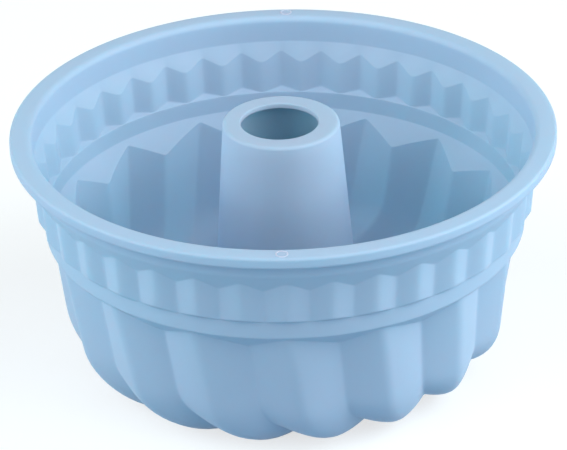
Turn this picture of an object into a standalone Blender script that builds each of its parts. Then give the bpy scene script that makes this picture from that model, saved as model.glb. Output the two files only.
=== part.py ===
# Fluted tube pan in moulded silicone, with the steel hoop that its rim holds.
# Units are metres, +Z up. The pan stands on its base at z = 0, centred on the Z axis.
# Angles round the pan start at -Y and grow towards +X.

import math

import bmesh
import bpy
from mathutils import Vector

# Overall size and wall
RIM_DIAMETER = 0.240
PAN_HEIGHT = 0.116
WALL = 0.0024

# Rim bead, rounded where it turns down into the pan
RIM_WIDTH = 0.0097
RIM_DEPTH = 0.0052
RIM_EDGE = 0.0007
RIM_FILLET = 0.0028

# Plain wall and shoulder under the rim; slopes are measured from the vertical
PLAIN_WALL_HEIGHT = 0.0122
PLAIN_WALL_DRAFT = math.radians(0.5)
SHOULDER_SLOPE = math.radians(17.0)

# The plain wall is thicker than the rest, so its outer face has its own place:
# how far in from the rim's outer edge it starts, and how far below the rim's top it ends
OUTER_WALL_INSET = 0.0054
OUTER_WALL_HEIGHT = 0.0121
OUTER_WALL_DRAFT = math.radians(4.1)

# Collar of small flutes
SMALL_FLUTES = 36
SMALL_FLUTE_DROP = 0.0045
SMALL_FLUTE_DEPTH = 0.0026
SMALL_FLUTE_TOP_SLOPE = math.radians(31.5)
SMALL_FLUTE_HEIGHT = 0.0178
SMALL_FLUTE_DRAFT = math.radians(4.3)
LEDGE_SLOPE = math.radians(58.0)
LEDGE_STEP = 0.0002

# Smooth band under the collar
BAND_HEIGHT = 0.0078
BAND_DRAFT = math.radians(3.3)

# Swirled flutes
SWIRL_FLUTES = 16
SWIRL_SHOULDER_SLOPE = math.radians(39.0)
SWIRL_DROP = 0.0024
SWIRL_DEPTH = 0.0066
CREST_ROUNDNESS = 1.44
CREST_DRAFT = math.radians(7.35)
VALLEY_DRAFT = math.radians(5.7)
CREST_CORNER = 0.0340
VALLEY_CORNER = 0.0281
VALLEY_RISE = 0.0065
LAND_RADIUS = 0.0500

# Swirl: radians of turn per metre of wall, and the turn that the bottom corner adds
WALL_TWIST = 1.28
CORNER_TURN = math.radians(17.6)
CORNER_TURN_LENGTH = 0.0096

# Centre tube
TUBE_TOP_RADIUS = 0.0257
TUBE_RISE = 0.0015
TUBE_DRAFT = math.radians(4.4)
TUBE_ROOT = 0.0050
TUBE_EDGE = 0.0010
BORE_RADIUS = 0.0172

# Steel hoop in the rim, and the holes that the locating pins leave under it
WIRE_DIAMETER = 0.0030
WIRE_INSET = 0.0037
WIRE_CLEARANCE = 0.0003
WIRE_SIDES = 8
PIN_HOLES = 8
PIN_HOLE_DIAMETER = 0.0020

# Faceting: columns of the mesh round the pan
COLUMNS_PER_SMALL_FLUTE = 4
COLUMNS_PER_SWIRL_FLUTE = 6
TUBE_COLUMNS = 48
HOOP_COLUMNS = 72
FILLET_STEPS = 2
WALL_STEPS = 2
CORNER_STEPS = 5
ROOT_STEPS = 2

# Looks: an edge that turns by more than the angle is shaded as a crease
SILICONE_COLOUR = (0.328, 0.497, 0.701, 1.0)
SILICONE_ROUGHNESS = 0.55
SILICONE_CREASE = math.radians(22)
STEEL_COLOUR = (0.62, 0.62, 0.63, 1.0)
STEEL_ROUGHNESS = 0.35
STEEL_CREASE = math.radians(60)


def clear_scene():
    for item in list(bpy.data.objects):
        bpy.data.objects.remove(item, do_unlink=True)


def make_material(name, colour, roughness, metallic):
    material = bpy.data.materials.new(name)
    material.use_nodes = True
    shader = material.node_tree.nodes["Principled BSDF"]
    shader.inputs["Base Color"].default_value = colour
    shader.inputs["Roughness"].default_value = roughness
    shader.inputs["Metallic"].default_value = metallic
    material.diffuse_color = colour
    return material


def rim_radius():
    return RIM_DIAMETER / 2


def bead_inner_radius():
    return rim_radius() - RIM_WIDTH


def fold(position):
    """0 on a flute's outermost line, 1 on its innermost line, straight between."""
    return 1 - abs(1 - 2 * (position % 1))


def bead_edge():
    """The bead's rounded inner top edge, as (radius, z) points."""
    centre = (bead_inner_radius() + RIM_FILLET, PAN_HEIGHT - RIM_FILLET)
    points = []
    for step in range(FILLET_STEPS + 1):
        angle = math.pi / 2 * (1 + step / FILLET_STEPS)
        points.append((centre[0] + RIM_FILLET * math.cos(angle),
                       centre[1] + RIM_FILLET * math.sin(angle)))
    return points


def upper_profile(depth_share):
    """Inner face from the rim's bead down to the band's top edge, as (radius, z) points."""
    points = bead_edge()
    radius, top = bead_inner_radius(), PAN_HEIGHT
    wall_end = radius - PLAIN_WALL_HEIGHT * math.tan(PLAIN_WALL_DRAFT)
    points.append((wall_end, top - PLAIN_WALL_HEIGHT))

    groove_top = (wall_end - SMALL_FLUTE_DROP * math.tan(SHOULDER_SLOPE),
                  top - PLAIN_WALL_HEIGHT - SMALL_FLUTE_DROP)
    inset = SMALL_FLUTE_DEPTH * depth_share
    points.append((groove_top[0] - inset,
                   groove_top[1] - inset / math.tan(SMALL_FLUTE_TOP_SLOPE)))

    ledge = math.tan(LEDGE_SLOPE)
    groove_foot = (groove_top[0] - SMALL_FLUTE_HEIGHT * math.tan(SMALL_FLUTE_DRAFT),
                   groove_top[1] - SMALL_FLUTE_HEIGHT)
    points.append((groove_foot[0] - inset, groove_foot[1] - inset / ledge))
    whole = SMALL_FLUTE_DEPTH + LEDGE_STEP
    points.append((groove_foot[0] - whole, groove_foot[1] - whole / ledge))
    return points


def wall_and_corner(start, draft, corner, floor):
    """A drafted wall from start, then an arc of the given radius down to the floor level."""
    centre_z = floor + corner
    wall_foot = start[0] - (start[1] - centre_z) * math.tan(draft)
    centre_r = wall_foot - corner / math.cos(draft)
    points = []
    arc_start_z = centre_z - corner * math.sin(draft)
    arc_start_r = centre_r + corner * math.cos(draft)
    for step in range(1, WALL_STEPS):
        share = step / WALL_STEPS
        points.append((start[0] + (arc_start_r - start[0]) * share,
                       start[1] + (arc_start_z - start[1]) * share))
    sweep = math.pi / 2 - draft
    for step in range(CORNER_STEPS + 1):
        angle = -draft - sweep * step / CORNER_STEPS
        points.append((centre_r + corner * math.cos(angle), centre_z + corner * math.sin(angle)))
    return points


def lower_profile(band_top, depth_share):
    """Inner face from the band's bottom edge, down the swirled wall, to the flat base."""
    band_foot = (band_top[0] - BAND_HEIGHT * math.tan(BAND_DRAFT), band_top[1] - BAND_HEIGHT)
    slope = math.tan(SWIRL_SHOULDER_SLOPE)
    crest_top = (band_foot[0] - SWIRL_DROP * slope, band_foot[1] - SWIRL_DROP)
    valley_top = (crest_top[0] - SWIRL_DEPTH, crest_top[1] - SWIRL_DEPTH / slope)
    floor = WALL
    crest = [crest_top]
    crest += wall_and_corner(crest_top, CREST_DRAFT, CREST_CORNER - WALL, floor)
    valley = [valley_top]
    valley += wall_and_corner(valley_top, VALLEY_DRAFT, VALLEY_CORNER - WALL, floor + VALLEY_RISE)
    points = [band_foot]
    for outer, inner in zip(crest, valley):
        points.append((outer[0] + (inner[0] - outer[0]) * depth_share,
                       outer[1] + (inner[1] - outer[1]) * depth_share))
    points.append((LAND_RADIUS, floor))
    return points


def tube_profile():
    """Inner face from the base round the tube's root, up its side and over to the bore."""
    floor = WALL
    top = PAN_HEIGHT + TUBE_RISE
    slope = math.tan(TUBE_DRAFT)
    foot = TUBE_TOP_RADIUS + (top - floor) * slope
    # The root fillet touches the base and the drafted side
    reach = TUBE_ROOT * math.tan((math.pi / 2 - TUBE_DRAFT) / 2)
    centre = (foot + reach, floor + TUBE_ROOT)
    points = []
    for step in range(ROOT_STEPS + 1):
        angle = -math.pi / 2 - (math.pi / 2 - TUBE_DRAFT) * step / ROOT_STEPS
        points.append((centre[0] + TUBE_ROOT * math.cos(angle),
                       centre[1] + TUBE_ROOT * math.sin(angle)))
    points.append((TUBE_TOP_RADIUS + TUBE_EDGE * slope, top - TUBE_EDGE))
    points.append((TUBE_TOP_RADIUS - TUBE_EDGE, top))
    points.append((BORE_RADIUS, top))
    return points


def inner_profile(small_share, swirl_share):
    upper = upper_profile(small_share)
    lower = lower_profile(upper[-1], swirl_share)
    return upper + lower + tube_profile()


def outer_profile(inner):
    """The inner profile moved out by the wall, each corner mitred, from the bead's underside."""
    source = inner[len(bead_edge()) - 1:]
    moved = []
    for index, point in enumerate(source):
        normals = []
        for first, second in ((index - 1, index), (index, index + 1)):
            if first >= 0 and second < len(source):
                run = Vector(source[second]) - Vector(source[first])
                normals.append(Vector((-run.y, run.x)).normalized())
        normal = sum(normals, Vector((0, 0))).normalized()
        moved.append(Vector(point) + normal * (WALL / normal.dot(normals[0])))
    outer_wall = rim_radius() - OUTER_WALL_INSET
    wall_run = (OUTER_WALL_HEIGHT - RIM_DEPTH) * math.tan(OUTER_WALL_DRAFT)
    moved[0] = Vector((outer_wall, PAN_HEIGHT - RIM_DEPTH))
    moved[1] = Vector((outer_wall - wall_run, PAN_HEIGHT - OUTER_WALL_HEIGHT))
    return [tuple(point) for point in moved]


def twist_along(profile):
    """Turn of each ring: slow down the wall, then quick where the corner starts to run inwards."""
    turns = [0.0]
    length = 0.0
    for start, end in zip(profile, profile[1:]):
        length += math.dist(start, end)
        drop = profile[0][1] - end[1]
        corner_share = 1 - math.exp((drop - length) / CORNER_TURN_LENGTH)
        turns.append(WALL_TWIST * drop + CORNER_TURN * corner_share)
    return turns


def add_ring(mesh, columns, turn, point_at):
    """One ring of vertices, each paired with its angle round the pan."""
    ring = []
    for column in range(columns):
        around = column / columns
        radius, height = point_at(around)
        angle = 2 * math.pi * around + turn
        place = (radius * math.sin(angle), -radius * math.cos(angle), height)
        ring.append((mesh.verts.new(place), angle))
    return ring


def join_rings(mesh, first, second):
    """Quads between rings of equal count, else triangles that follow the angles."""
    count, other = len(first), len(second)
    if count == other:
        for column in range(count):
            after = (column + 1) % count
            mesh.faces.new((first[column][0], first[after][0],
                            second[after][0], second[column][0]))
        return
    whole_turn = 2 * math.pi
    shift = round((first[0][1] - second[0][1]) / whole_turn * other)

    def angle_of(ring, index):
        return ring[index % len(ring)][1] + whole_turn * (index // len(ring))

    left, right = 0, shift
    while left < count or right < shift + other:
        next_left = angle_of(first, left + 1)
        next_right = angle_of(second, right + 1)
        here = first[left % count][0]
        there = second[right % other][0]
        if right == shift + other or (left < count and next_left <= next_right):
            mesh.faces.new((here, first[(left + 1) % count][0], there))
            left += 1
        else:
            mesh.faces.new((here, second[(right + 1) % other][0], there))
            right += 1


def face_rings(mesh, outside):
    """The rings of one face of the shell, in order from the rim to the bore."""
    swirl_columns = SWIRL_FLUTES * COLUMNS_PER_SWIRL_FLUTE
    small_columns = SMALL_FLUTES * COLUMNS_PER_SMALL_FLUTE
    profiles = {}

    def profile(small_share, swirl_share):
        key = (round(small_share, 6), round(swirl_share, 6))
        if key not in profiles:
            inner = inner_profile(small_share, swirl_share)
            profiles[key] = outer_profile(inner) if outside else inner
        return profiles[key]

    crest = profile(0, 0)
    upper_count = len(upper_profile(0))
    if outside:
        upper_count -= len(bead_edge()) - 1
    tube_start = len(crest) - len(tube_profile())
    turns = twist_along(lower_profile(upper_profile(0)[-1], 0)[1:])
    rings = []
    for index in range(len(crest)):
        if index < upper_count:
            rings.append(add_ring(mesh, small_columns, 0.0, lambda around:
                                  profile(fold(around * SMALL_FLUTES), 0)[index]))
        elif index < tube_start:
            step = index - upper_count - 1
            turn = turns[step] if step >= 0 else 0.0
            # Flat facets on the wall; the crests grow round in the bottom corner
            corner_share = min(1, max(0, step - WALL_STEPS) / CORNER_STEPS * 2)
            power = 1 + (CREST_ROUNDNESS - 1) * corner_share
            rings.append(add_ring(mesh, swirl_columns, turn, lambda around:
                                  profile(0, fold(around * SWIRL_FLUTES) ** power)[index]))
        else:
            rings.append(add_ring(mesh, TUBE_COLUMNS, 0.0, lambda around: crest[index]))
    return rings


def bead_rings(mesh):
    """The rim bead's own rings, from the outer edge of its underside to its top."""
    outer = rim_radius()
    top = PAN_HEIGHT
    under = PAN_HEIGHT - RIM_DEPTH
    section = [(outer - RIM_EDGE, under), (outer, under + RIM_EDGE),
               (outer, top - RIM_EDGE), (outer - RIM_EDGE, top)]
    columns = SMALL_FLUTES * COLUMNS_PER_SMALL_FLUTE
    return [add_ring(mesh, columns, 0.0, lambda around: point) for point in section]


def finish_object(name, mesh, material, sharp_angle):
    bmesh.ops.recalc_face_normals(mesh, faces=mesh.faces)
    data = bpy.data.meshes.new(name)
    mesh.to_mesh(data)
    mesh.free()
    data.shade_smooth()
    data.set_sharp_from_angle(angle=sharp_angle)
    if material:
        data.materials.append(material)
    item = bpy.data.objects.new(name, data)
    bpy.context.scene.collection.objects.link(item)
    return item


def wire_centre():
    """Centre of the hoop's wire in the bead's section, as (radius, z)."""
    return (rim_radius() - WIRE_INSET, PAN_HEIGHT - RIM_DEPTH / 2)


def ring_body(mesh, thickness):
    """A closed ring of round section on the wire's line."""
    radius, height = wire_centre()
    rings = []
    for side in range(WIRE_SIDES):
        angle = 2 * math.pi * (side + 0.5) / WIRE_SIDES
        point = (radius + thickness / 2 * math.cos(angle), height + thickness / 2 * math.sin(angle))
        rings.append(add_ring(mesh, HOOP_COLUMNS, 0.0, lambda around: point))
    for index, ring in enumerate(rings):
        join_rings(mesh, ring, rings[(index + 1) % len(rings)])


def make_hoop(material):
    mesh = bmesh.new()
    ring_body(mesh, WIRE_DIAMETER)
    return finish_object("rim_hoop", mesh, material, STEEL_CREASE)


def make_cutter(name, mesh):
    cutter = finish_object(name, mesh, None, SILICONE_CREASE)
    cutter.hide_render = True
    cutter.display_type = "WIRE"
    return cutter


def make_channel_cutter():
    mesh = bmesh.new()
    ring_body(mesh, WIRE_DIAMETER + 2 * WIRE_CLEARANCE)
    return make_cutter("cutter_channel", mesh)


def make_pin_cutter():
    """Upright pins from below the bead to the middle of the hoop's channel."""
    radius, height = wire_centre()
    start = PAN_HEIGHT - RIM_DEPTH - WALL
    mesh = bmesh.new()
    for pin in range(PIN_HOLES):
        angle = 2 * math.pi * (pin + 0.5) / PIN_HOLES
        pin_mesh = bmesh.ops.create_cone(mesh, cap_ends=True, segments=WIRE_SIDES,
                                         radius1=PIN_HOLE_DIAMETER / 2,
                                         radius2=PIN_HOLE_DIAMETER / 2, depth=height - start)
        centre = Vector((radius * math.sin(angle), -radius * math.cos(angle), (start + height) / 2))
        bmesh.ops.translate(mesh, verts=pin_mesh["verts"], vec=centre)
    return make_cutter("cutter_pins", mesh)


def subtract(item, cutter):
    cut = item.modifiers.new(cutter.name, "BOOLEAN")
    cut.operation = "DIFFERENCE"
    cut.solver = "EXACT"
    cut.object = cutter


def make_pan(material):
    mesh = bmesh.new()
    loop = face_rings(mesh, outside=False)
    loop += list(reversed(face_rings(mesh, outside=True)))
    loop += bead_rings(mesh)
    for index, ring in enumerate(loop):
        join_rings(mesh, ring, loop[(index + 1) % len(loop)])
    pan = finish_object("silicone_pan", mesh, material, SILICONE_CREASE)
    subtract(pan, make_channel_cutter())
    subtract(pan, make_pin_cutter())
    return pan


def main():
    clear_scene()
    silicone = make_material("silicone", SILICONE_COLOUR, SILICONE_ROUGHNESS, metallic=0.0)
    steel = make_material("steel", STEEL_COLOUR, STEEL_ROUGHNESS, metallic=1.0)
    make_pan(silicone)
    make_hoop(steel)


main()
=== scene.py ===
import math

import bpy
import numpy as np
from mathutils import Matrix, Vector


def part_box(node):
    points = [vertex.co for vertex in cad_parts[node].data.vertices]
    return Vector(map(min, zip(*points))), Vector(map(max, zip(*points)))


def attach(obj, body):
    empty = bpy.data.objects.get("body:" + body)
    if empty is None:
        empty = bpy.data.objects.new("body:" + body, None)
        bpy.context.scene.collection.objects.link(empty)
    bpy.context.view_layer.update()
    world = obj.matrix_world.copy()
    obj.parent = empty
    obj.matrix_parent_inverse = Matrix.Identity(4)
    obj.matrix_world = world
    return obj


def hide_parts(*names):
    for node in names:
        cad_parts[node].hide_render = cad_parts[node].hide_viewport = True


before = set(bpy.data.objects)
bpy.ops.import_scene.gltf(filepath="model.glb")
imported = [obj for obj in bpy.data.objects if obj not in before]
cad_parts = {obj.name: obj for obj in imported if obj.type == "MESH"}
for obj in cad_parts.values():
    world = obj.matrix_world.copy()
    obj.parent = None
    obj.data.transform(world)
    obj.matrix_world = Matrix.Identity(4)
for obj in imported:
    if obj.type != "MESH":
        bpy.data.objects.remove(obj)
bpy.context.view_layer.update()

# Metres, Z up. The pan stands on z = 0, and angles round it start at -Y and grow towards +X.


def material(name):
    made = bpy.data.materials.new(name)
    made.use_nodes = True
    return made, Wire(made.node_tree), made.node_tree.nodes["Principled BSDF"]


class Wire:
    # A socket that can stand in a sum. Each sum adds the Math node that works it out.
    def __init__(self, tree, socket=None):
        self.tree = tree
        self.socket = socket

    def node(self, kind, settings=None, inputs=None, output=0):
        made = self.tree.nodes.new(kind)
        for name, value in (settings or {}).items():
            setattr(made, name, value)
        for name, value in (inputs or {}).items():
            if isinstance(value, Wire):
                self.tree.links.new(value.socket, made.inputs[name])
            else:
                made.inputs[name].default_value = value
        return Wire(self.tree, made.outputs[output])

    def maths(self, operation, first, second):
        return self.node("ShaderNodeMath", {"operation": operation}, {0: first, 1: second})

    def into(self, socket):
        self.tree.links.new(self.socket, socket)

    def __add__(self, other):
        return self.maths("ADD", self, other)

    def __sub__(self, other):
        return self.maths("SUBTRACT", self, other)

    def __rsub__(self, other):
        return self.maths("SUBTRACT", other, self)

    def __mul__(self, other):
        return self.maths("MULTIPLY", self, other)

    __radd__ = __add__
    __rmul__ = __mul__


# Camera: on the -Y side, looking down at the rim

view = {
    "rise": 27.096,            # degrees above the rim's plane
    "distance": 1.35732,       # from the rim's centre
    "rimHeight": 0.116,
    "pan": -0.031,             # degrees off the rim's centre
    "tilt": -1.868,
    "roll": -1.300,
    "lens": 196.19,            # mm
    "sensor": 36,              # mm
    "farClip": 50,             # metres
}


def addCamera():
    rise = math.radians(view["rise"])
    place = Vector((0, -math.cos(rise), math.sin(rise))) * view["distance"]
    ahead = -place.normalized()
    right = Vector((1, 0, 0))
    up = right.cross(ahead)
    turn = Matrix.Rotation(-math.radians(view["pan"]), 3, up)
    ahead, right = turn @ ahead, turn @ right
    turn = Matrix.Rotation(math.radians(view["tilt"]), 3, right)
    ahead, up = turn @ ahead, turn @ up
    turn = Matrix.Rotation(-math.radians(view["roll"]), 3, ahead)
    right, up = turn @ right, turn @ up
    lens = bpy.data.cameras.new("camera")
    lens.sensor_fit = "HORIZONTAL"
    lens.sensor_width = view["sensor"]
    lens.lens = view["lens"]
    lens.clip_end = view["farClip"]
    camera = bpy.data.objects.new("camera", lens)
    bpy.context.collection.objects.link(camera)
    frameAxes = Matrix((right, up, -ahead)).transposed().to_4x4()
    place.z += view["rimHeight"]
    camera.matrix_world = Matrix.Translation(place) @ frameAxes
    bpy.context.scene.camera = camera


addCamera()
print("camera placed")

# The pan: one silicone moulding. Slopes are in degrees from the vertical.

pan = {
    "rimRadius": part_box("silicone_pan")[1].x,
    "top": 0.116,
    "wall": 0.0024,
    "rimWidth": 0.0097,
    "rimDepth": 0.0052,
    "plainWall": 0.0122,
    "plainSlope": 0.5,
    "outerWall": 0.1146,        # radius of the plain wall's outer face, just under the bead
    "outerSlope": 4.1,
    "outerWallEnd": 0.0121,
    "shoulderSlope": 17.0,
    "smallFlutes": 36,
    "smallDrop": 0.0045,
    "smallTopSlope": 31.5,
    "smallDepth": 0.0026,
    "smallHeight": 0.0178,
    "smallSlope": 4.3,
    "ledgeSlope": 58.0,
    "ledgeStep": 0.0002,
    "bandHeight": 0.0078,
    "bandSlope": 3.3,
    "swirlFlutes": 16,
    "swirlShoulder": 39.0,
    "swirlDrop": 0.0024,
    "swirlDepth": 0.0066,
    "crestPower": 1.44,
    "crestPowerBy": 0.5,        # share of the bottom corner at which that power is reached
    "crestSlope": 7.35,
    "valleySlope": 5.7,
    "crestCorner": 0.0340,
    "valleyCorner": 0.0281,
    "valleyRise": 0.0065,
    "landRadius": 0.0500,
    "wallTwist": 1.28,          # radians per metre of drop
    "cornerTurn": 17.6,         # degrees that the bottom corner adds
    "cornerTurnLength": 0.0096,
    "valleyTurn": 1.5,          # degrees that the innermost lines are ahead at their tops
    "outerBandDrop": 0.0009,    # the band reaches lower outside, and the grooves higher
    "outerGrooveRise": 0.0011,
    "tubeTop": 0.0257,
    "tubeRise": 0.0015,
    "tubeSlope": 4.4,
    "bore": 0.0172,
    "tubeLean": 0.0008,         # the soft tube leans to the left, and its hole is a little off its middle
    "boreLean": 0.0007,
    "boreShare": 0.8,           # share of the tube's top radius inside which points belong to the hole
    "boreLeanFrom": 0.9,        # share of the height above which the hole is off its middle
    "columns": 432,
    "crowding": 0.6,            # how far the columns crowd towards the flutes' edges
    "wallSteps": 8,
    "cornerSteps": 16,
    # Share of half a flute that its rounded outermost edge takes, and its rounded innermost edge.
    # The wall's thickness makes the ridges of either face rounder than its grooves.
    "insideFolds": {"small": (0.10, 0.28), "swirl": (0.04, 0.09)},
    "outsideFolds": {"small": (0.24, 0.10), "swirl": (0.14, 0.05)},
    # Radius of each corner of the section, on the face that holds the batter and outside.
    # Corners that aren't named, on the swirled wall, stay as they are.
    "rounds": {
        "beadOuterTop": (0.0013, 0.0013),
        "beadInnerTop": (0.0028, 0.0028),
        "wallEnd": (0.0020, 0.0060),
        "smallTop": (0.0024, 0.0022),
        "smallFoot": (0.0012, 0.0012),
        "bandTop": (0.0008, 0.0012),
        "bandFoot": (0.0010, 0.0014),
        "swirlTop": (0.0010, 0.0014),
        "land": (0.0060, 0.0060),
        "root": (0.0050, 0.0074),
        "tubeTop": (0.0016, 0.0008),
        "boreTop": (0.0005, 0.0003),
        "underBead": (0.0, 0.0005),
        "beadFoot": (0.0, 0.0011),
    },
    "leastReach": 0.00015,      # metres of each leg that a corner's arc takes at least
    "mostReach": 0.45,          # share of the shorter leg that it may take
    # Points on a corner's arc, and along the leg after it on the way from the bead to the bore
    "arcPoints": 5,
    "beadArcPoints": {"beadOuterTop": 7, "beadInnerTop": 9},
    "legPoints": {"beadOuterTop": 2, "beadInnerTop": 3, "wallEnd": 1, "smallTop": 4, "bandTop": 2,
                  "swirlTop": 1, "land": 1, "root": 5, "tubeTop": 3, "boreTop": 1, "beadFoot": 2},
}


def slope(name):
    return math.tan(math.radians(pan[name]))


def crowd(flutes):
    # Column angles as shares of a turn, closer together at the edges of this many flutes
    even = np.arange(pan["columns"]) / pan["columns"]
    return even - pan["crowding"] * np.sin(4 * math.pi * flutes * even) / (4 * math.pi * flutes)


def softFold(position, rounds):
    # 0 on a flute's outermost line and 1 on its innermost line, both rounded
    outer, inner = rounds
    share = 2 * np.abs((position + 0.5) % 1 - 0.5)
    gap = 1 - share
    share = np.where(share < outer, (share ** 2 + outer ** 2) / (2 * outer), share)
    share = np.where(gap < inner, 1 - (gap ** 2 + inner ** 2) / (2 * inner), share)
    return (share - outer / 2) / (1 - outer / 2 - inner / 2)


def wallAndCorner(start, wallSlope, corner, floor):
    # A drafted wall from start, then an arc down to the floor level
    draft = math.radians(pan[wallSlope])
    middleZ = floor + corner
    foot = start[0] - (start[1] - middleZ) * math.tan(draft)
    middleR = foot - corner / math.cos(draft)
    arcStart = (middleR + corner * math.cos(draft), middleZ - corner * math.sin(draft))
    wall = np.linspace(start, arcStart, pan["wallSteps"] + 1)[:-1]
    angles = np.linspace(-draft, -math.pi / 2, pan["cornerSteps"] + 1)
    arc = np.stack([middleR + corner * np.cos(angles), middleZ + corner * np.sin(angles)], 1)
    return np.concatenate([wall, arc])


def wallTurns(crest):
    # Turn of each point of the swirled wall: slow down the wall, quick where the corner runs inwards
    run = np.concatenate([[0], np.cumsum(np.hypot(*np.diff(crest, axis=0).T))])
    drop = crest[0, 1] - crest[:, 1]
    cornerShare = 1 - np.exp((drop - run) / pan["cornerTurnLength"])
    return pan["wallTwist"] * drop + math.radians(pan["cornerTurn"]) * cornerShare


def innerCorners(rounds):
    # Corners of the face that holds the batter, from the bead to the bore: name, radius, height, angle
    columns = pan["columns"]
    smallTurn = crowd(pan["smallFlutes"])
    swirlTurn = crowd(pan["swirlFlutes"])
    small = softFold(smallTurn * pan["smallFlutes"], rounds["small"])
    swirl = softFold(swirlTurn * pan["swirlFlutes"], rounds["swirl"])
    corners = []

    def corner(name, radius, height, turn, extra=0.0):
        point = np.zeros((columns, 3))
        point[:, 0] = radius
        point[:, 1] = height
        point[:, 2] = 2 * math.pi * turn + extra
        corners.append((name, point))

    top = pan["top"]
    beadInner = pan["rimRadius"] - pan["rimWidth"]
    corner("beadOuterTop", pan["rimRadius"], top, smallTurn)
    corner("beadInnerTop", beadInner, top, smallTurn)
    wallEnd = beadInner - pan["plainWall"] * slope("plainSlope")
    corner("wallEnd", wallEnd, top - pan["plainWall"], smallTurn)
    smallTop = (wallEnd - pan["smallDrop"] * slope("shoulderSlope"),
                top - pan["plainWall"] - pan["smallDrop"])
    inset = pan["smallDepth"] * small
    corner("smallTop", smallTop[0] - inset, smallTop[1] - inset / slope("smallTopSlope"), smallTurn)
    smallFoot = (smallTop[0] - pan["smallHeight"] * slope("smallSlope"),
                 smallTop[1] - pan["smallHeight"])
    corner("smallFoot", smallFoot[0] - inset, smallFoot[1] - inset / slope("ledgeSlope"), smallTurn)
    whole = pan["smallDepth"] + pan["ledgeStep"]
    bandTop = (smallFoot[0] - whole, smallFoot[1] - whole / slope("ledgeSlope"))
    corner("bandTop", *bandTop, smallTurn)
    bandFoot = (bandTop[0] - pan["bandHeight"] * slope("bandSlope"), bandTop[1] - pan["bandHeight"])
    corner("bandFoot", *bandFoot, swirlTurn)
    crestTop = (bandFoot[0] - pan["swirlDrop"] * slope("swirlShoulder"),
                bandFoot[1] - pan["swirlDrop"])
    valleyTop = (crestTop[0] - pan["swirlDepth"],
                 crestTop[1] - pan["swirlDepth"] / slope("swirlShoulder"))
    floor = pan["wall"]
    crest = wallAndCorner(crestTop, "crestSlope", pan["crestCorner"] - floor, floor)
    valley = wallAndCorner(valleyTop, "valleySlope", pan["valleyCorner"] - floor,
                           floor + pan["valleyRise"])
    turns = wallTurns(crest)
    for step, turn in enumerate(turns):
        cornerShare = max(0, step - pan["wallSteps"]) / pan["cornerSteps"]
        share = swirl ** (1 + (pan["crestPower"] - 1) * min(1, cornerShare / pan["crestPowerBy"]))
        radius = crest[step, 0] + (valley[step, 0] - crest[step, 0]) * share
        height = crest[step, 1] + (valley[step, 1] - crest[step, 1]) * share
        ahead = math.radians(pan["valleyTurn"]) * share * max(0, 1 - step / pan["wallSteps"])
        corner("wall" if step else "swirlTop", radius, height, swirlTurn, turn + ahead)
    last = turns[-1]
    corner("land", pan["landRadius"], floor, swirlTurn, last)
    tubeTop = top + pan["tubeRise"]
    tubeFoot = pan["tubeTop"] + (tubeTop - floor) * slope("tubeSlope")
    corner("root", tubeFoot, floor, swirlTurn, last)
    corner("tubeTop", pan["tubeTop"], tubeTop, swirlTurn, last)
    corner("boreTop", pan["bore"], tubeTop, swirlTurn, last)
    return corners


def movedOut(points):
    # The section moved out by the wall, each corner mitred: points is corners x columns x 3
    legs = np.diff(points[:, :, :2], axis=0)
    normals = np.stack([-legs[:, :, 1], legs[:, :, 0]], 2)
    normals /= np.linalg.norm(normals, axis=2, keepdims=True)
    before = np.concatenate([normals[:1], normals])
    after = np.concatenate([normals, normals[-1:]])
    middle = before + after
    middle /= np.linalg.norm(middle, axis=2, keepdims=True)
    reach = pan["wall"] / (middle * before).sum(2, keepdims=True)
    moved = points.copy()
    moved[:, :, :2] += middle * reach
    return moved


def roundedSection(corners):
    # Rings of points through a closed list of (corner, radius, points on its arc, points after it)
    rings = []
    count = len(corners)
    for index, (here, radius, arcPoints, legPoints) in enumerate(corners):
        start, end = corners[index - 1][0], corners[(index + 1) % count][0]
        into = here[:, :2] - start[:, :2]
        out = end[:, :2] - here[:, :2]
        intoLong = np.linalg.norm(into, axis=1)
        outLong = np.linalg.norm(out, axis=1)
        bend = np.arccos(np.clip((into * out).sum(1) / (intoLong * outLong), -1, 1))
        if radius:
            reach = np.maximum(radius * np.tan(bend / 2), pan["leastReach"])
            reach = np.minimum(reach, pan["mostReach"] * np.minimum(intoLong, outLong))[:, None]
            weight = np.cos(bend / 2)[:, None]
            first = here + (start - here) * reach / intoLong[:, None]
            last = here + (end - here) * reach / outLong[:, None]
            for share in np.linspace(0, 1, arcPoints):
                a, b, c = (1 - share) ** 2, 2 * share * (1 - share) * weight, share ** 2
                rings.append((a * first + b * here + c * last) / (a + b + c))
        else:
            rings.append(here)
        if legPoints:
            rings.append(("leg", legPoints))
    # The points along each leg are spaced between the arcs that it joins, closer at its ends
    whole = []
    for index, ring in enumerate(rings):
        if not isinstance(ring, tuple):
            whole.append(ring)
            continue
        start, end = rings[index - 1], rings[(index + 1) % len(rings)]
        shares = (1 - np.cos(np.pi * np.arange(1, ring[1] + 1) / (ring[1] + 1))) / 2
        whole += [start + (end - start) * share for share in shares]
    return whole


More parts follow.
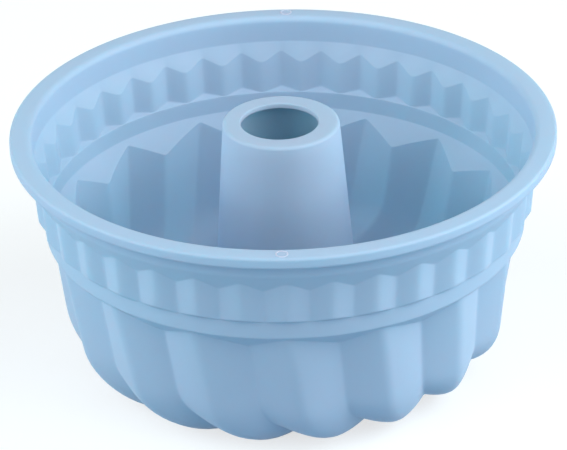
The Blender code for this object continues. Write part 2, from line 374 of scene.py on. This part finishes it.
def panSection():
    names, inside = zip(*innerCorners(pan["insideFolds"]))
    rounds, arcPoints, legPoints = pan["rounds"], pan["arcPoints"], pan["legPoints"]
    sharp = (0, 0)
    section = []
    for name, point in zip(names, inside):
        section.append((point, rounds.get(name, sharp)[0],
                        pan["beadArcPoints"].get(name, arcPoints), legPoints.get(name, 0)))
    # Outside, from the bore back up to the bead. The plain wall is thicker than the rest.
    underBead = pan["top"] - pan["rimDepth"]
    outside = movedOut(np.stack([point for name, point in innerCorners(pan["outsideFolds"])[1:]]))
    outside[0, :, 0] = pan["outerWall"]
    outside[0, :, 1] = underBead
    outside[1, :, 0] = pan["outerWall"] - (pan["outerWallEnd"] - pan["rimDepth"]) * slope("outerSlope")
    outside[1, :, 1] = pan["top"] - pan["outerWallEnd"]
    outsideNames = ("underBead",) + names[2:]
    outside[outsideNames.index("bandFoot"), :, 1] -= pan["outerBandDrop"]
    swirlTop = outside[outsideNames.index("swirlTop")]
    swirlTop[:, 1] += pan["outerGrooveRise"] * (swirlTop[:, 0].max() - swirlTop[:, 0]) / pan["swirlDepth"]
    for index in range(len(outside) - 1, -1, -1):
        radius = rounds.get(outsideNames[index], sharp)[1]
        above = outsideNames[index - 1] if index else None
        section.append((outside[index], radius, arcPoints, legPoints.get(above, 0)))
    beadFoot = inside[0].copy()
    beadFoot[:, 1] = underBead
    section.append((beadFoot, rounds["beadFoot"][1], arcPoints, legPoints["beadFoot"]))
    return roundedSection(section)


def ringMesh(name, rings):
    # A closed surface through rings of equal count, the last joined to the first
    count, columns = len(rings), len(rings[0])
    points = np.stack(rings)
    radius, height, angle = points[:, :, 0], points[:, :, 1], points[:, :, 2]
    places = np.stack([radius * np.sin(angle), -radius * np.cos(angle), height], 2).reshape(-1, 3)
    ring, column = np.meshgrid(np.arange(count), np.arange(columns), indexing="ij")
    nextRing, nextColumn = (ring + 1) % count, (column + 1) % columns
    faces = np.stack([ring * columns + column, nextRing * columns + column,
                      nextRing * columns + nextColumn, ring * columns + nextColumn], 2).reshape(-1, 4)
    mesh = bpy.data.meshes.new(name)
    mesh.from_pydata(places.tolist(), [], faces.tolist())
    mesh.validate()
    mesh.shade_smooth()
    piece = bpy.data.objects.new(name, mesh)
    bpy.context.collection.objects.link(piece)
    return piece


siliconeLook = {
    "colours": ((0.336, 0.487, 0.669, 1), (0.350, 0.501, 0.683, 1)),    # base tone, paler patches
    "roughness": 0.52,
    "grainRoughness": 0.10,     # how much the grain varies the roughness
    "grainSize": 1500,          # features per metre
    "grainDetail": 3.0,
    "grainBump": 0.10,
    "grainHeight": 0.0001,
    "patchRoughness": 0.06,
    "patchSize": 18,
    "patchDetail": 2.0,
    "index": 1.5,
    "gloss": 0.22,              # 0.5 is all the gloss that the index gives
    "seeThrough": 0.20,         # share of the light that passes into the silicone
    "lightReach": (0.0015, 0.030, 0.036),       # metres, for red, green and blue
}


def siliconeMaterial(name, colours):
    look = siliconeLook
    made, wire, shader = material(name)
    place = wire.node("ShaderNodeTexCoord", output="Object")
    grain = wire.node("ShaderNodeTexNoise",
                      inputs={"Vector": place, "Scale": look["grainSize"], "Detail": look["grainDetail"]})
    patches = wire.node("ShaderNodeTexNoise",
                        inputs={"Vector": place, "Scale": look["patchSize"], "Detail": look["patchDetail"]})
    colour = wire.node("ShaderNodeMix", {"data_type": "RGBA"},
                       {"Factor": patches, "A": colours[0], "B": colours[1]}, output="Result")
    colour.into(shader.inputs["Base Color"])
    rough = (look["roughness"] + look["grainRoughness"] * (grain - 0.5)
             + look["patchRoughness"] * (patches - 0.5))
    rough.into(shader.inputs["Roughness"])
    bump = wire.node("ShaderNodeBump", inputs={"Strength": look["grainBump"],
                                               "Distance": look["grainHeight"], "Height": grain})
    bump.into(shader.inputs["Normal"])
    shader.inputs["IOR"].default_value = look["index"]
    shader.inputs["Specular IOR Level"].default_value = look["gloss"]
    # Green and blue light reaches further in than red, so thin walls in shade turn a little greener
    shader.inputs["Subsurface Weight"].default_value = look["seeThrough"]
    shader.inputs["Subsurface Radius"].default_value = look["lightReach"]
    shader.inputs["Subsurface Scale"].default_value = 1.0
    return made


def leanTube(piece):
    # The centre tube leans more the higher it goes. The outer wall doesn't move.
    places = np.empty(len(piece.data.vertices) * 3, np.float32)
    piece.data.vertices.foreach_get("co", places)
    places = places.reshape(-1, 3)
    radius = np.hypot(places[:, 0], places[:, 1])
    height = np.clip(places[:, 2] / (pan["top"] + pan["tubeRise"]), 0, 1)
    inBore = (radius < pan["boreShare"] * pan["tubeTop"]) & (height > pan["boreLeanFrom"])
    lean = pan["tubeLean"] * height ** 2 * (radius < pan["landRadius"])
    lean += pan["boreLean"] * inBore
    places[:, 0] -= lean
    piece.data.vertices.foreach_set("co", places.ravel())
    piece.data.update()


silicone = siliconeMaterial("silicone_satin", siliconeLook["colours"])
panPiece = ringMesh("fluted_pan", panSection())
leanTube(panPiece)
panPiece.data.materials.append(silicone)
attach(panPiece, "root")
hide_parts("silicone_pan")
print("pan moulded:", len(panPiece.data.vertices), "points,", len(panPiece.data.polygons), "faces")

# Two plain raised rings on the rim's top, one in front and one behind

rimMark = {
    "radius": 0.0024,
    "line": 0.0003,             # radius of the ring's own round section, half sunk in the rim
    "fromCentre": 0.1158,
    "frontAngle": -0.8,         # degrees
    "backAngle": 178.7,
    "columns": 64,
    "linePoints": 12,
    "colours": ((0.47, 0.61, 0.77, 1), (0.50, 0.64, 0.79, 1)),    # painted paler than the rim: a painted highlight
}
# The rings are painted paler than the rim, a painted highlight for the light that their edges catch
paintedHighlightSilicone = siliconeMaterial("silicone_painted_highlight", rimMark["colours"])


def addRimMark(name, degrees):
    turn = np.arange(rimMark["columns"]) * 2 * math.pi / rimMark["columns"]
    rings = []
    for around in np.arange(rimMark["linePoints"]) * 2 * math.pi / rimMark["linePoints"]:
        radius = np.full_like(turn, rimMark["radius"] + rimMark["line"] * math.cos(around))
        height = np.full_like(turn, -rimMark["line"] * math.sin(around))
        rings.append(np.stack([radius, height, turn], 1))
    piece = ringMesh(name, rings)
    across, angle = rimMark["fromCentre"], math.radians(degrees)
    piece.location = (across * math.sin(angle), -across * math.cos(angle), pan["top"])
    piece.data.materials.append(paintedHighlightSilicone)
    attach(piece, "root")


addRimMark("rim_mark_front", rimMark["frontAngle"])
addRimMark("rim_mark_back", rimMark["backAngle"])
print("rim marked")

# The hoop in the rim: drawn steel wire

hoopLook = {
    "colour": (0.60, 0.60, 0.61, 1),
    "roughness": 0.32,
    "streakRoughness": 0.18,    # how much the roughness varies
    "streakSize": 900.0,        # features per metre
    "streakDetail": 4.0,
}


def steelMaterial():
    look = hoopLook
    made, wire, shader = material("drawn_steel")
    place = wire.node("ShaderNodeTexCoord", output="Object")
    streaks = wire.node("ShaderNodeTexNoise",
                        inputs={"Vector": place, "Scale": look["streakSize"], "Detail": look["streakDetail"]})
    rough = look["roughness"] + look["streakRoughness"] * (streaks - 0.5)
    rough.into(shader.inputs["Roughness"])
    shader.inputs["Base Color"].default_value = look["colour"]
    shader.inputs["Metallic"].default_value = 1.0
    return made


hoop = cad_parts["rim_hoop"]
hoop.data.materials.clear()
hoop.data.materials.append(steelMaterial())
print("hoop finished")

# The stage: a white floor, with soft lamps around it

stage = {
    "floorSide": 9.0,
    "floorHeight": -0.0002,                     # just below the base, so the two faces don't share a plane
    "floorColour": (0.30, 0.35, 0.36, 1),       # lit by the lamps, on top of the glow that the camera sees
    "floorGlow": 0.70,
    "floorBounce": (0.24, 0.36, 0.47, 1),       # the colour that the floor sends back to the pan
    "floorRoughness": 0.9,
    "worldColour": (1, 1, 1, 1),
    "worldLight": 0.02,
    "lampDistance": 1.8,
    "lampAim": (0, 0, 0.08),
}

# Degrees round from the front towards the right, degrees above the pan, metres across and high
lamps = {
    "lampRight": {"round": 90, "rise": 30, "size": (1.0, 1.0), "watts": 17.4},
    "lampLeft": {"round": -90, "rise": 30, "size": (1.0, 1.0), "watts": 13.5},
    "lampHighRight": {"round": 60, "rise": 50, "size": (1.0, 1.0), "watts": 9.2},
    "lampHighLeft": {"round": -60, "rise": 50, "size": (1.0, 1.0), "watts": 3.8},
    "lampHighFront": {"round": 0, "rise": 50, "size": (1.0, 1.0), "watts": 3.8},
    "lampFrontRight": {"round": 45, "rise": 30, "size": (1.0, 1.0), "watts": 7.1},
    "lampFrontLeft": {"round": -45, "rise": 30, "size": (1.0, 1.0), "watts": 5.7},
    "lampLowRight": {"round": 90, "rise": 12, "size": (1.0, 0.6), "watts": 7.0},
    "lampLowLeft": {"round": -90, "rise": 12, "size": (1.0, 0.6), "watts": 6.0},
    "lampLowFrontRight": {"round": 50, "rise": 12, "size": (1.0, 0.6), "watts": 4.4},
    "lampLowFrontLeft": {"round": -50, "rise": 12, "size": (1.0, 0.6), "watts": 5.3},
}


def seenPlainly(wire):
    # 1 on rays from the camera and on mirrored and passed ones, 0 on soft light
    seen = wire.node("ShaderNodeLightPath", output="Is Camera Ray")
    mirrored = wire.node("ShaderNodeLightPath", output="Is Glossy Ray")
    passed = wire.node("ShaderNodeLightPath", output="Is Transmission Ray")
    return wire.maths("MINIMUM", seen + mirrored + passed, 1.0)


def addFloor():
    half = stage["floorSide"] / 2
    mesh = bpy.data.meshes.new("floor")
    mesh.from_pydata([(-half, -half, 0), (half, -half, 0), (half, half, 0), (-half, half, 0)],
                     [], [(0, 1, 2, 3)])
    floor = bpy.data.objects.new("floor", mesh)
    floor.location.z = stage["floorHeight"]
    bpy.context.collection.objects.link(floor)
    made, wire, shader = material("floor_white")
    seen = seenPlainly(wire)
    colour = wire.node("ShaderNodeMix", {"data_type": "RGBA"},
                       {"Factor": seen, "A": stage["floorBounce"], "B": stage["floorColour"]},
                       output="Result")
    colour.into(shader.inputs["Base Color"])
    glow = wire.node("ShaderNodeMix", {"data_type": "RGBA"},
                     {"Factor": seen, "A": (0, 0, 0, 1), "B": (1, 1, 1, 1)}, output="Result")
    glow.into(shader.inputs["Emission Color"])
    shader.inputs["Emission Strength"].default_value = stage["floorGlow"]
    shader.inputs["Roughness"].default_value = stage["floorRoughness"]
    shader.inputs["Specular IOR Level"].default_value = 0.0
    mesh.materials.append(made)


def addWorld():
    world = bpy.data.worlds.new("studio")
    world.use_nodes = True
    bpy.context.scene.world = world
    tree = world.node_tree
    tree.nodes.clear()
    wire = Wire(tree)
    strength = stage["worldLight"] + (1 - stage["worldLight"]) * seenPlainly(wire)
    light = wire.node("ShaderNodeBackground", inputs={"Color": stage["worldColour"], "Strength": strength})
    output = tree.nodes.new("ShaderNodeOutputWorld")
    light.into(output.inputs["Surface"])


def addLamp(name, lamp):
    light = bpy.data.lights.new(name, "AREA")
    light.shape = "RECTANGLE"
    light.size, light.size_y = lamp["size"]
    light.energy = lamp["watts"]
    item = bpy.data.objects.new(name, light)
    bpy.context.collection.objects.link(item)
    around, rise = math.radians(lamp["round"]), math.radians(lamp["rise"])
    outward = Vector((math.sin(around) * math.cos(rise), -math.cos(around) * math.cos(rise), math.sin(rise)))
    item.location = Vector(stage["lampAim"]) + stage["lampDistance"] * outward
    item.rotation_euler = (-outward).to_track_quat("-Z", "Y").to_euler()
    item.visible_camera = False


addFloor()
addWorld()
for name, lamp in lamps.items():
    addLamp(name, lamp)
bpy.context.scene.view_settings.view_transform = "Standard"
print("stage lit")
